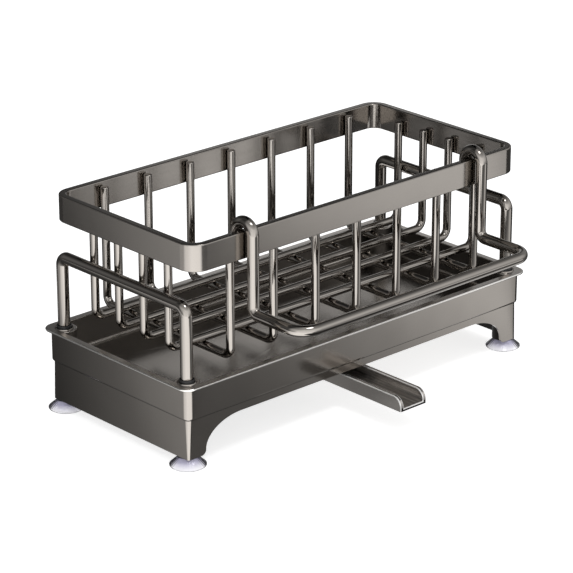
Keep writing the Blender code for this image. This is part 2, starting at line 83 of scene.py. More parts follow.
class Shade:
    """A value that changes over a surface. Sums on it add Math nodes to its material."""

    def __init__(self, tree, socket=None):
        self.tree = tree
        self.socket = socket

    def add(self, kind, settings=None, sockets=None, out=0):
        """Adds a node: its settings and a ramp's stops first, then the values or links of its sockets."""
        node = self.tree.nodes.new("ShaderNode" + kind)
        for name, value in (settings or {}).items():
            if name != "stops":
                setattr(node, name, value)
                continue
            stops = node.color_ramp.elements
            while len(stops) < len(value):
                stops.new(1)
            for stop, (place, level) in zip(stops, value):
                stop.position = place
                stop.color = (level, level, level, 1)
        for name, value in (sockets or {}).items():
            if isinstance(value, Shade):
                self.tree.links.new(value.socket, node.inputs[name])
            else:
                node.inputs[name].default_value = value
        return Shade(self.tree, node.outputs[out])

    def math(self, operation, one, two=0.0):
        return self.add("Math", {"operation": operation}, {0: one, 1: two})

    def __add__(self, other):
        return self.math("ADD", self, other)

    def __sub__(self, other):
        return self.math("SUBTRACT", self, other)

    def __rsub__(self, other):
        return self.math("SUBTRACT", other, self)

    def __mul__(self, other):
        return self.math("MULTIPLY", self, other)

    def __truediv__(self, other):
        return self.math("DIVIDE", self, other)

    __radd__ = __add__
    __rmul__ = __mul__

    def at_least(self, other):
        return self.math("MAXIMUM", self, other)

    def at_most(self, other):
        return self.math("MINIMUM", self, other)

    def noise(self, scale, detail, stretch=(1, 1, 1)):
        """Cloudy noise on a place, drawn out along the axes that stretch makes small."""
        place = self.add("VectorMath", {"operation": "MULTIPLY"}, {0: self, 1: stretch})
        return self.add("TexNoise", {}, {"Vector": place, "Scale": scale, "Detail": detail})

    def blend(self, one, two):
        """One colour where this value is 0 and the other where it is 1."""
        colours = [colour if isinstance(colour, Shade) else (*colour, 1) for colour in (one, two)]
        return self.add("Mix", {"data_type": "RGBA"}, {0: self, 6: colours[0], 7: colours[1]}, out=2)


def new_material(name):
    """A material, its Principled shader, and the place on the piece that its patterns start from."""
    material = bpy.data.materials.new(name)
    material.use_nodes = True
    tree = material.node_tree
    shader = tree.nodes["Principled BSDF"]
    place = Shade(tree).add("TexCoord", out="Object")
    return material, shader, place


def plug(shader, name, value):
    """Sets a socket of a shader to a number or colour, or links a shade to it."""
    if isinstance(value, Shade):
        value.tree.links.new(value.socket, shader.inputs[name])
    else:
        shader.inputs[name].default_value = value


def black_nickel(name, roughness, along, wave, tones=(NICKEL_DARK, NICKEL_LIGHT), streaks=0.0, metallic=1.0):
    """Bright black nickel plate: faint clouds in its tone, fine polishing lines, and a slow wave."""
    material, shader, place = new_material(name)
    clouds = place.noise(CLOUD_SCALE, 3)
    lines = place.noise(POLISH_SCALE, 2, along)
    waves = place.noise(WAVE_SCALE, 1)
    plug(shader, "Metallic", metallic)
    plug(shader, "Base Color", (clouds + (lines - 0.5) * streaks).blend(*tones))
    plug(shader, "Roughness", roughness + (lines - 0.5) * POLISH_ROUGHNESS + (clouds - 0.5) * CLOUD_ROUGHNESS)
    height = waves * wave + lines * POLISH_DEPTH
    plug(shader, "Normal", height.add("Bump", {}, {"Strength": 1.0, "Distance": 1.0, "Height": height}))
    return material


def arc(middle, radius, start, end, steps):
    """Points on an arc from one angle to the other, in degrees, both ends included."""
    angles = [math.radians(start + (end - start) * step / steps) for step in range(steps + 1)]
    return [(middle[0] + radius * math.cos(a), middle[1] + radius * math.sin(a)) for a in angles]


def rounded_rectangle(length, depth, corner, steps=CORNER_STEPS):
    """A rectangle with round corners about the stand's middle, counterclockwise from its right side."""
    x, y = length / 2 - corner, depth / 2 - corner
    points = arc((x, y), corner, 0, 90, steps) + arc((-x, y), corner, 90, 180, steps)
    points += arc((-x, -y), corner, 180, 270, steps) + arc((x, -y), corner, 270, 360, steps)
    return [(MIDDLE.x + px, MIDDLE.y + py) for px, py in points]


def keep_flat(piece):
    """Keeps the shading of a piece's flat faces flat, beside round ones."""
    normals = piece.modifiers.new("flat_faces", "WEIGHTED_NORMAL")
    normals.keep_sharp = True


def mesh_piece(name, shape, sharp=40, weighted=True):
    """Turns a shape into a smoothly shaded piece, with sharp edges where it bends by more than an angle."""
    bmesh.ops.recalc_face_normals(shape, faces=shape.faces)
    mesh = bpy.data.meshes.new(name)
    shape.to_mesh(mesh)
    shape.free()
    mesh.shade_smooth()
    mesh.set_sharp_from_angle(angle=math.radians(sharp))
    piece = bpy.data.objects.new(name, mesh)
    bpy.context.scene.collection.objects.link(piece)
    if weighted:
        keep_flat(piece)
    return piece


def join_rings(shape, rings, closed=False):
    """Faces from each ring of points to the next, and from the last to the first if the shape is closed."""
    lines = [[shape.verts.new(point) for point in ring] for ring in rings]
    for one, two in zip(lines, lines[1:] + (lines[:1] if closed else [])):
        for i in range(len(one)):
            j = (i + 1) % len(one)
            shape.faces.new((one[i], one[j], two[j], two[i]))
    return lines


def thicken(piece, thickness, edge):
    """Thickens a folded sheet inwards, gives its inside the second finish, a painted shade, and eases its cut
    edges.
    """
    solid = piece.modifiers.new("sheet", "SOLIDIFY")
    solid.thickness = thickness
    solid.offset = -1
    solid.use_even_offset = True
    solid.material_offset = 1
    ease(piece, edge)


def ease(piece, edge, segments=3, finish=0):
    """Rounds a piece's edges, in one of its finishes, and keeps its flat faces flat after that."""
    bevel = piece.modifiers.new("eased_edges", "BEVEL")
    bevel.material = finish
    bevel.width = edge
    bevel.segments = segments
    bevel.limit_method = "ANGLE"
    bevel.angle_limit = SHARP_BEND
    bevel.harden_normals = False
    normals = piece.modifiers.get("flat_faces")
    if normals:
        piece.modifiers.remove(normals)
    keep_flat(piece)


def dress(piece, finishes, body, *nodes, slot="black_nickel"):
    """Gives a piece its finishes, hangs it on its body, and lets it stand for its nodes."""
    for material in finishes if isinstance(finishes, (tuple, list)) else (finishes,):
        piece.data.materials.append(material)
    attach(piece, body)
    if nodes:
        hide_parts(*nodes)


def turned(name, profile, x, y, steps=64):
    """A round piece about an upright axis, from a closed profile of radius and height."""
    shape = bmesh.new()
    rings = []
    for radius, height in profile:
        if radius == 0:
            rings.append([shape.verts.new((x, y, height))])
            continue
        turns = [2 * math.pi * step / steps for step in range(steps)]
        ring = [(x + radius * math.cos(a), y + radius * math.sin(a), height) for a in turns]
        rings.append([shape.verts.new(point) for point in ring])
    closed = profile[0][0] != 0
    pairs = list(zip(rings, rings[1:])) + ([(rings[-1], rings[0])] if closed else [])
    for one, two in pairs:
        for i in range(steps):
            j = (i + 1) % steps
            if len(one) == 1:
                shape.faces.new((one[0], two[i], two[j]))
            elif len(two) == 1:
                shape.faces.new((one[i], two[0], one[j]))
            else:
                shape.faces.new((one[i], two[i], two[j], one[j]))
    return mesh_piece(name, shape)


def skirt_columns():
    """The skirt's outline in plan, from its right side on, with its lower edge's height at each point."""
    side = STAND_LENGTH / 2 - ARCH_FOOT
    spring = STAND_BASE + FOOT_ROUND
    rise = ARCH_RISE - FOOT_ROUND
    foot = arc((side + FOOT_ROUND, spring), FOOT_ROUND, FOOT_FROM, FOOT_TO, FOOT_STEPS)
    curve = []
    for step in range(ARCH_STEPS + 1):
        angle = math.radians(90 * step / ARCH_STEPS)
        curve.append((side - ARCH_CURVE * (1 - math.cos(angle)), spring + rise * math.sin(angle)))
    half = foot + curve
    arch = half + [(-x, z) for x, z in reversed(half)]
    outline = rounded_rectangle(STAND_LENGTH, STAND_DEPTH, STAND_CORNER)
    per_corner = CORNER_STEPS + 1
    columns = [(x, y, STAND_BASE) for x, y in outline[:per_corner]]
    columns += [(MIDDLE.x + x, stand_high.y, z) for x, z in arch]
    columns += [(x, y, STAND_BASE) for x, y in outline[per_corner : 3 * per_corner]]
    columns += [(MIDDLE.x - x, stand_low.y, z) for x, z in arch]
    columns += [(x, y, STAND_BASE) for x, y in outline[3 * per_corner :]]
    return columns


def sharpen(x, y, share):
    """Moves a corner point of the skirt outwards by a share, onto a smaller corner radius."""
    dx, dy = x - MIDDLE.x, y - MIDDLE.y
    cx, cy = STAND_LENGTH / 2 - STAND_CORNER, STAND_DEPTH / 2 - STAND_CORNER
    if abs(dx) <= cx or abs(dy) <= cy:
        return x, y
    smaller = STAND_CORNER + (STAND_CORNER_FOOT - STAND_CORNER) * share
    kx = math.copysign(STAND_LENGTH / 2 - smaller, dx)
    ky = math.copysign(STAND_DEPTH / 2 - smaller, dy)
    away = Vector((dx - math.copysign(cx, dx), dy - math.copysign(cy, dy))).normalized()
    return MIDDLE.x + kx + away.x * smaller, MIDDLE.y + ky + away.y * smaller


skirt = bmesh.new()
skirt_rows = []
for row in range(SKIRT_ROWS + 1):
    share = row / SKIRT_ROWS
    points = [(*sharpen(x, y, 1 - share), foot + (SEAM - foot) * share) for x, y, foot in skirt_columns()]
    skirt_rows.append(points)
join_rings(skirt, skirt_rows)
polished_sheet = black_nickel("black_nickel_sheet", 0.14, (1, 1, 0.03), 0.000006)
# Painted shade: the skirt's inside and the corner posts get a near black copy of the plate.
painted_shade_inside = black_nickel("black_nickel_painted_shade", 0.58, (1, 1, 1), 0.00001, (PAINTED_SHADE_DARK, PAINTED_SHADE_LIGHT))
stand_skirt = mesh_piece("stand_skirt", skirt)
thicken(stand_skirt, STAND_WALL, SHEET_EDGE)
dress(stand_skirt, (polished_sheet, painted_shade_inside), "base", "base_stand")

leg_places = {}
for corner in ("front_left", "front_right", "back_left", "back_right"):
    cap_low, cap_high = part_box("leg_cap_" + corner)
    leg_places[corner] = ((cap_low.x + cap_high.x) / 2, (cap_low.y + cap_high.y) / 2)
POST_RADIUS = 0.0074
POST_TOP = SEAM - 0.0026
POST_EASE = 0.0005
POST_INSET = STAND_WALL * 0.8  # how deep in the skirt's wall the posts are cut off
PLUG_BORE = 0.0043
flat = POST_RADIUS - POST_EASE
profile = [(PLUG_BORE, POST_TOP), (flat, POST_TOP), (POST_RADIUS, POST_TOP - POST_EASE)]
profile += [(POST_RADIUS, STAND_BASE + POST_EASE), (flat, STAND_BASE + GAP), (PLUG_BORE, STAND_BASE + GAP)]
for corner, (x, y) in leg_places.items():
    post = turned("stand_post_" + corner, profile, x, y)
    for vertex in post.data.vertices:
        dx, dy = vertex.co.x - MIDDLE.x, vertex.co.y - MIDDLE.y
        vertex.co.x = MIDDLE.x + math.copysign(min(abs(dx), STAND_LENGTH / 2 - POST_INSET), dx)
        vertex.co.y = MIDDLE.y + math.copysign(min(abs(dy), STAND_DEPTH / 2 - POST_INSET), dy)
    dress(post, painted_shade_inside, "base")


# Suction cups. Each is moulded in one piece of clear soft vinyl: a bell with fine ribs, and a plug pushed up
# into a post. The rim ends in a flat ring that seals on the counter.
CUP_TOP = STAND_BASE - GAP
CUP_RADIUS = 0.0115
CUP_LIP = 0.0008
CUP_RING = 0.0018
CUP_SHOULDER = 0.0056
CUP_HOLLOW = 0.0032
STEM_RADIUS = 0.0040
STEM_TOP = STAND_BASE + 0.0085
BELL_STEPS = 10
BELL_CURVE = 1.15
CUP_RIBS = 36
RIB_DEPTH = 0.00005
CUP_STEPS = 288

VINYL_CLEAR = (0.98, 0.97, 1.0)
VINYL_VIOLET = (0.62, 0.60, 0.76)
VINYL_PAINTED_DARK = (0.02, 0.02, 0.024)
CLEAR_PAINTED_GLOW = (0.20, 0.20, 0.21)
VIOLET_PAINTED_GLOW = (0.04, 0.04, 0.05)
TINT_FROM = 0.0012     # height over the counter at which the vinyl starts to look thick
TINT_SPAN = 0.003
TINT_CLOUD = 0.3
PAINTED_DARK_FROM = 0.34       # how far a face has to turn away before it is painted dark
PAINTED_DARK_GAIN = 6.0
MILK_SCALE = 700
MILK_DEPTH = 0.00002


def clear_vinyl():
    """Clear vinyl, a little milky and violet where thick, painted dark edge on, and with a painted glow."""
    material, shader, place = new_material("clear_vinyl")
    milk = place.noise(MILK_SCALE, 3)
    facing = milk.add("LayerWeight", {}, {"Blend": 0.5}, out="Facing")
    # Painted reflection: faces turned edge on are blended to near black.
    edge = ((facing - PAINTED_DARK_FROM) * PAINTED_DARK_GAIN).at_least(0.0).at_most(1.0)
    level = place.add("SeparateXYZ", {}, {"Vector": place}, out=2)
    thick = (((level - TINT_FROM) / TINT_SPAN).at_least(0.0) + (milk - 0.5) * TINT_CLOUD).at_most(1.0)
    plug(shader, "Base Color", edge.blend(thick.blend(VINYL_CLEAR, VINYL_VIOLET), VINYL_PAINTED_DARK))
    plug(shader, "Roughness", 0.06 + milk * 0.10)
    plug(shader, "Transmission Weight", 0.35)
    # Painted glow: the vinyl gives off light of its own, though it is no lamp.
    plug(shader, "Emission Color", edge.blend(thick.blend(CLEAR_PAINTED_GLOW, VIOLET_PAINTED_GLOW), (0, 0, 0)))
    plug(shader, "Emission Strength", 1.0)
    plug(shader, "IOR", 1.46)
    height = milk * MILK_DEPTH
    plug(shader, "Normal", height.add("Bump", {}, {"Strength": 0.6, "Distance": 1.0, "Height": height}))
    return material


vinyl = clear_vinyl()
for corner, (x, y) in leg_places.items():
    hollow = CUP_RADIUS - CUP_RING
    profile = [(0, STEM_TOP), (STEM_RADIUS * 0.6, STEM_TOP), (STEM_RADIUS * 0.9, STEM_TOP - 0.0005)]
    profile += [(STEM_RADIUS, STEM_TOP - 0.0014), (STEM_RADIUS, CUP_TOP), (CUP_SHOULDER, CUP_TOP)]
    for step in range(1, BELL_STEPS + 1):
        share = step / BELL_STEPS
        radius = CUP_SHOULDER + (CUP_RADIUS - CUP_SHOULDER) * share
        profile.append((radius, CUP_LIP + (CUP_TOP - CUP_LIP) * (1 - share**BELL_CURVE)))
    profile += [(CUP_RADIUS, CUP_LIP / 2), (CUP_RADIUS - 0.0003, 0.00005)]
    profile += [(CUP_RADIUS - 0.0008, 0), (hollow, 0)]
    for step in range(1, BELL_STEPS):
        share = 1 - step / BELL_STEPS
        profile.append((hollow * share, CUP_HOLLOW * (1 - share**2)))
    profile.append((0, CUP_HOLLOW))
    cup = turned("vinyl_cup_" + corner, profile, x, y, CUP_STEPS)
    for vertex in cup.data.vertices:
        away = Vector((vertex.co.x - x, vertex.co.y - y))
        if CUP_SHOULDER < away.length < CUP_RADIUS - 0.0001 and vertex.co.z > CUP_LIP:
            span = min(away.length - CUP_SHOULDER, CUP_RADIUS - away.length) / (CUP_RADIUS - CUP_SHOULDER)
            ripple = math.cos(CUP_RIBS * math.atan2(away.y, away.x))
            vertex.co.z -= RIB_DEPTH * (1 + ripple) * min(1, 4 * span)
    dress(cup, vinyl, "base", "suction_cup_" + corner, slot="clear_cup")


# Spout bracket. Steel sheet from wall to wall under the tray, plated thinly, with a hole for the nozzle and a
# C rail on each side of the spout. The rails are closed in front and behind, so the spout can't drop out.
def toned(colour, share):
    """A colour made lighter or darker by a share."""
    return tuple(tone * share for tone in colour)


bracket_tones = (toned(NICKEL_DARK, 0.55), toned(NICKEL_LIGHT, 0.62))
bracket_plate = black_nickel("black_nickel_bracket", 0.36, (1, 0.03, 1), 0.00001, bracket_tones)
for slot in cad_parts["spout_bracket"].material_slots:
    slot.material = bracket_plate


# Drain spout. An open channel of sheet, shown pulled out. Its sides are folded back on themselves to a thick
# edge and rounded off at the nose. It has a wall at the back and a runner on each side that slides in a rail.
spout_low, spout_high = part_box("drain_spout")
SPOUT_FRONT, SPOUT_BACK = spout_low.y, spout_high.y
SPOUT_BASE, SPOUT_TOP = spout_low.z, spout_high.z
SPOUT_HALF = 0.0112
SPOUT_WALL = 0.0028
SPOUT_FLOOR = 0.0018
SPOUT_EDGE = 0.00062
SPOUT_NOSE = SPOUT_TOP - SPOUT_BASE - SPOUT_FLOOR - SPOUT_EDGE  # down to just above the floor
NOSE_STEPS = 18
RUNNER_WIDTH = 0.0040
RUNNER_THICK = 0.0012
RUNNER_LENGTH = 0.048
RUNNER_EDGE = 0.0002

PLATE_DARK = (0.38, 0.355, 0.33)
PLATE_LIGHT = (0.50, 0.475, 0.45)
# The channel's inside: real drawing streaks, in tones lighter than the plate as painted light.
DRAWN_DARK = (0.20, 0.185, 0.17)
DRAWN_PAINTED_LIGHT = (0.60, 0.565, 0.53)
DRAWN_STREAKS = 2.5
# Near white tones of a painted highlight, for the spout's rounded upper edges.
HIGHLIGHT_EDGE_DARK = (0.86, 0.85, 0.83)
HIGHLIGHT_EDGE_LIGHT = (0.97, 0.96, 0.95)
CHANNEL_PLATE, CHANNEL_PAINTED_HIGHLIGHT, CHANNEL_DRAWN, CHANNEL_PAINTED_SHADE = range(4)


def add_block(shape, low, high):
    """Adds a square block between two corners to a shape."""
    low, high = Vector(low), Vector(high)
    matrix = Matrix.Translation((low + high) / 2) @ Matrix.Diagonal((*(high - low), 1))
    bmesh.ops.create_cube(shape, size=1, matrix=matrix)


def cut_with(piece, tool_shape):
    """Cuts a shape out of a piece for good."""
    bmesh.ops.recalc_face_normals(tool_shape, faces=tool_shape.faces)
    mesh = bpy.data.meshes.new("tool")
    tool_shape.to_mesh(mesh)
    tool_shape.free()
    tool = bpy.data.objects.new("tool", mesh)
    bpy.context.scene.collection.objects.link(tool)
    piece.modifiers.clear()
    cut = piece.modifiers.new("cut", "BOOLEAN")
    cut.object = tool
    cut.solver = "EXACT"
    evaluated = piece.evaluated_get(bpy.context.evaluated_depsgraph_get())
    result = bpy.data.meshes.new_from_object(evaluated)
    piece.modifiers.clear()
    piece.data = result
    bpy.data.objects.remove(tool)
    result.shade_smooth()


def ease_outer(piece, edge, finish):
    """Rounds the edges of a piece that stand out, apart from its lowest ones, in one of its finishes."""
    shape = bmesh.new()
    shape.from_mesh(piece.data)
    weights = shape.edges.layers.float.new("bevel_weight_edge")
    base = min(vertex.co.z for vertex in shape.verts) + GAP
    for line in shape.edges:
        raised = max(vertex.co.z for vertex in line.verts) > base
        line[weights] = float(raised and line.is_convex and line.calc_face_angle(0) > SHARP_BEND)
    shape.to_mesh(piece.data)
    shape.free()
    ease(piece, edge, 4, finish)
    piece.modifiers["eased_edges"].limit_method = "WEIGHT"


nose = arc((SPOUT_FRONT + SPOUT_NOSE, SPOUT_TOP - SPOUT_NOSE), SPOUT_NOSE, 90, 180, NOSE_STEPS)
side_outline = [(SPOUT_FRONT, SPOUT_BASE), (SPOUT_BACK, SPOUT_BASE), (SPOUT_BACK, SPOUT_TOP)] + nose
channel = bmesh.new()
sides = [[channel.verts.new((x, y, z)) for y, z in side_outline] for x in (-SPOUT_HALF, SPOUT_HALF)]
for i in range(len(side_outline)):
    j = (i + 1) % len(side_outline)
    channel.faces.new((sides[0][i], sides[0][j], sides[1][j], sides[1][i]))
for side in sides:
    channel.faces.new(side)
spout_channel = mesh_piece("spout_channel", channel)
hollow = bmesh.new()
hollow_low = (SPOUT_WALL - SPOUT_HALF, SPOUT_FRONT - 0.01, SPOUT_BASE + SPOUT_FLOOR)
hollow_high = (SPOUT_HALF - SPOUT_WALL, SPOUT_BACK - SPOUT_WALL, SPOUT_TOP + 0.01)
add_block(hollow, hollow_low, hollow_high)
cut_with(spout_channel, hollow)
for face in spout_channel.data.polygons:
    x, y, z = face.center
    inner_side = abs(face.normal.x) > 0.9 and abs(x) < SPOUT_HALF - SPOUT_WALL / 2
    channel_floor = face.normal.z > 0.9 and z < SPOUT_BASE + 2 * SPOUT_FLOOR
    # The floor's front face gets the painted shade: a painted dark line under the edge above it.
    fold_end = face.normal.y < -0.9 and z < SPOUT_BASE + SPOUT_FLOOR
    if inner_side or channel_floor:
        face.material_index = CHANNEL_DRAWN
    else:
        face.material_index = CHANNEL_PAINTED_SHADE if fold_end else CHANNEL_PLATE
# The upper edges are rounded in a near white, scattering finish: a painted highlight.
ease_outer(spout_channel, SPOUT_EDGE, CHANNEL_PAINTED_HIGHLIGHT)
spout_plate = black_nickel("black_nickel_spout", 0.22, (1, 0.02, 1), 0.00001, (PLATE_DARK, PLATE_LIGHT))
painted_highlight_edge = black_nickel("painted_highlight_edge", 0.28, (1, 1, 1), 0.000006, (HIGHLIGHT_EDGE_DARK, HIGHLIGHT_EDGE_LIGHT), metallic=0.2)
# Painted light: the channel's inside is a lighter copy of the plate, streaked along its length.
drawn_painted_light_tones = (DRAWN_DARK, DRAWN_PAINTED_LIGHT)
drawn_channel_painted_light = black_nickel("black_nickel_channel_painted_light", 0.42, (1, 0.01, 1), 0.00002, drawn_painted_light_tones, DRAWN_STREAKS)
dress(spout_channel, (spout_plate, painted_highlight_edge, drawn_channel_painted_light, painted_shade_inside), "spout", "drain_spout")
runners = bmesh.new()
for sign in (-1, 1):
    near, far = sorted((sign * (SPOUT_HALF - SPOUT_WALL / 2), sign * (SPOUT_HALF + RUNNER_WIDTH)))
    runner_low = (near, SPOUT_BACK - RUNNER_LENGTH, SPOUT_TOP - RUNNER_THICK)
    add_block(runners, runner_low, (far, SPOUT_BACK, SPOUT_TOP))
spout_runners = mesh_piece("spout_runners", runners)
ease(spout_runners, RUNNER_EDGE)
dress(spout_runners, spout_plate, "spout")


# Drip tray. Deep drawn from steel sheet, with a rolled lip all round, a plateau over each leg's socket, and a
# floor that falls a little to the drain in its middle. A spigot below seats it in the stand.
tray_low, tray_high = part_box("drip_tray")
COLLAR_HEIGHT = 0.0006
RIM = tray_high.z - COLLAR_HEIGHT
RIM_LENGTH = tray_high.x - tray_low.x
RIM_DEPTH = tray_high.y - tray_low.y
RIM_CORNER = 0.0082
RIM_THICK = 0.0016
LIP = 0.0038
LIP_COVE = 0.0010
LIP_STEPS = 12
TRAY_LENGTH = RIM_LENGTH - 2 * LIP
TRAY_DEPTH = RIM_DEPTH - 2 * LIP
TRAY_CORNER = RIM_CORNER - LIP
TRAY_BASE = SEAM + GAP
TRAY_WALL = 0.0013
TRAY_FLOOR = 0.0012
BASE_ROUND = 0.0017
COVE_STEPS = 5
SPIGOT_LENGTH = STAND_LENGTH - 2 * (STAND_WALL + GAP)
SPIGOT_WIDTH = STAND_DEPTH - 2 * (STAND_WALL + GAP)
SPIGOT_DEPTH = 0.0020
SPIGOT_WALL = 0.0012
SPIGOT_CORNER = 0.0012
NOZZLE_BOTTOM = tray_low.z
NOZZLE_RADIUS = 0.0060
NOZZLE_EASE = 0.0003
DRAIN_RADIUS = 0.0040
DRAIN_EASE = 0.0006
DISH_RADIUS = 0.0140
DISH_SLOPE = 0.0030
PAN_FLOOR = TRAY_BASE + TRAY_FLOOR
PAN_FALL = 0.0006           # above and below the floor's mean level, from the walls to the dish
PAN_FILLET = 0.0016
FILLET_STEPS = 6
PAN_EDGE = 0.0005
EDGE_STEPS = 4
SOCKET_RADIUS = 0.0050
SOCKET_WALL = 0.0031
SOCKET_FLOOR = RIM - 0.014
SOCKET_SHEET = 0.0005
BORE_RADIUS = SOCKET_RADIUS + 0.0006
BORE_DEPTH = 0.0185
BORE_MIDDLE = RIM - 0.006
COLLAR_WALL = 0.0012
COLLAR_EASE = 0.0004
COLLAR_FOOT = 0.0004
MOUTH_EASE = 0.0003
TRAY_SHARP = 35
LEG_X = max(x for x, y in leg_places.values()) - MIDDLE.x
LEG_Y = max(y for x, y in leg_places.values()) - MIDDLE.y
NOTCH_STEPS = 20
TRAY_SHEET, TRAY_LIP, TRAY_PAN, TRAY_FLANGE, TRAY_INSIDE = range(5)
# Near white tones of a painted highlight along the rolled lip.
LIP_HIGHLIGHT_DARK = (0.70, 0.68, 0.65)
LIP_HIGHLIGHT_LIGHT = (0.82, 0.80, 0.78)


def tray_outline(length, depth, corner):
    """The tray's outline as a rounded rectangle, with as many points as the notched one has."""
    return rounded_rectangle(length, depth, corner, NOTCH_STEPS)


def notched_outline(inset):
    """The inside of the pan, drawn in by an inset, where it goes round the four sockets."""
    length, depth = TRAY_LENGTH - 2 * (TRAY_WALL + inset), TRAY_DEPTH - 2 * (TRAY_WALL + inset)
    radius = SOCKET_RADIUS + SOCKET_WALL + inset
    beside, before = length / 2 - LEG_X, depth / 2 - LEG_Y
    start = -math.degrees(math.acos(beside / radius))
    end = -180 - math.degrees(math.asin(before / radius))
    corner = arc((LEG_X, LEG_Y), radius, start, end, NOTCH_STEPS)
    points = corner + [(-x, y) for x, y in reversed(corner)]
    points += [(-x, -y) for x, y in corner]
    points += [(x, -y) for x, y in reversed(corner)]
    return [(MIDDLE.x + x, MIDDLE.y + y) for x, y in points]


def drain_circle(radius, evenly=True):
    """A circle about the drain with as many points as the pan's outline, spread evenly or in line with it."""
    outline = notched_outline(0)
    points = []
    for number, (x, y) in enumerate(outline):
        angle = 2 * math.pi * (number + 0.5) / len(outline)
        if not evenly:
            angle = math.atan2((y - MIDDLE.y) / TRAY_DEPTH, (x - MIDDLE.x) / TRAY_LENGTH)
        points.append((MIDDLE.x + radius * math.cos(angle), MIDDLE.y + radius * math.sin(angle)))
    return points


nozzle, nozzle_tip = drain_circle(NOZZLE_RADIUS), drain_circle(NOZZLE_RADIUS - NOZZLE_EASE)
inner = tray_outline(SPIGOT_LENGTH - 2 * SPIGOT_WALL, SPIGOT_WIDTH - 2 * SPIGOT_WALL, SPIGOT_CORNER / 2)
outer = tray_outline(SPIGOT_LENGTH, SPIGOT_WIDTH, SPIGOT_CORNER)
rings = [(drain_circle(DRAIN_RADIUS), NOZZLE_BOTTOM), (nozzle_tip, NOZZLE_BOTTOM)]
rings += [(nozzle, NOZZLE_BOTTOM + NOZZLE_EASE), (nozzle, TRAY_BASE)]
rings += [(inner, TRAY_BASE), (inner, SEAM - SPIGOT_DEPTH), (outer, SEAM - SPIGOT_DEPTH), (outer, TRAY_BASE)]
for step in range(COVE_STEPS + 1):
    angle = math.radians(90 * step / COVE_STEPS)
    inset = BASE_ROUND * (1 - math.sin(angle))
    outline = tray_outline(TRAY_LENGTH - 2 * inset, TRAY_DEPTH - 2 * inset, TRAY_CORNER - inset)
    rings.append((outline, TRAY_BASE + BASE_ROUND * (1 - math.cos(angle))))
for step in range(COVE_STEPS + 1):
    angle = math.radians(90 * step / COVE_STEPS)
    out = LIP_COVE * (1 - math.cos(angle))
    outline = tray_outline(TRAY_LENGTH + 2 * out, TRAY_DEPTH + 2 * out, TRAY_CORNER + out)
    rings.append((outline, RIM - RIM_THICK - LIP_COVE + LIP_COVE * math.sin(angle)))
LIP_RING = len(rings) + 4
for step in range(LIP_STEPS + 1):
    angle = math.radians(-90 + 180 * step / LIP_STEPS)
    inset = RIM_THICK / 2 * (1 - math.cos(angle))
    outline = tray_outline(RIM_LENGTH - 2 * inset, RIM_DEPTH - 2 * inset, RIM_CORNER - inset)
    rings.append((outline, RIM - RIM_THICK / 2 + RIM_THICK / 2 * math.sin(angle)))
FLANGE_RING = len(rings) - 1
for step in range(EDGE_STEPS + 1):
    angle = math.radians(90 * step / EDGE_STEPS)
    rings.append((notched_outline(-PAN_EDGE * (1 - math.sin(angle))), RIM - PAN_EDGE * (1 - math.cos(angle))))
INSIDE_RING = len(rings) - 1
for step in range(FILLET_STEPS + 1):
    angle = math.radians(90 * step / FILLET_STEPS)
    outline = notched_outline(PAN_FILLET * (1 - math.cos(angle)))
    rings.append((outline, PAN_FLOOR + PAN_FALL + PAN_FILLET * (1 - math.sin(angle))))
dish = PAN_FLOOR - PAN_FALL
rings.append((drain_circle(DISH_RADIUS, evenly=False), dish))
dips = {DISH_RADIUS - DISH_SLOPE: 0.00004, DRAIN_RADIUS + DRAIN_EASE: 0.0002, DRAIN_RADIUS: 0.0005}
rings += [(drain_circle(radius), dish - dip) for radius, dip in dips.items()]
pan = bmesh.new()
lines = join_rings(pan, [[(x, y, z) for x, y in outline] for outline, z in rings], closed=True)
for number, face in enumerate(pan.faces):
    ring = number // len(lines[0])
    if ring < LIP_RING or ring == len(rings) - 1:
        face.material_index = TRAY_SHEET
    elif ring < FLANGE_RING:
        face.material_index = TRAY_LIP
    else:
        face.material_index = {FLANGE_RING: TRAY_FLANGE, INSIDE_RING: TRAY_INSIDE}.get(ring, TRAY_PAN)
tray_pan = mesh_piece("tray_pan", pan, TRAY_SHARP)
bore = bmesh.new()
for x, y in leg_places.values():
    matrix = Matrix.Translation((x, y, BORE_MIDDLE))
    bmesh.ops.create_cone(bore, cap_ends=True, segments=64, radius1=BORE_RADIUS, radius2=BORE_RADIUS,
                          depth=BORE_DEPTH, matrix=matrix)
cut_with(tray_pan, bore)
tray_pan.data.set_sharp_from_angle(angle=math.radians(TRAY_SHARP))
keep_flat(tray_pan)
# Painted light: the pan's floor and fillets are a lighter copy of the plate.
pan_painted_light_tones = (toned(NICKEL_DARK, 1.45), toned(NICKEL_LIGHT, 1.45))
# Painted light: the flange's flat top is a lighter copy of the spout's plate.
flange_painted_light_tones = (toned(PLATE_DARK, 1.45), toned(PLATE_LIGHT, 1.45))
# Painted shade: the pan's inner wall is a darker copy of the plate.
wall_painted_shade_tones = (toned(NICKEL_DARK, 0.45), toned(NICKEL_LIGHT, 0.45))
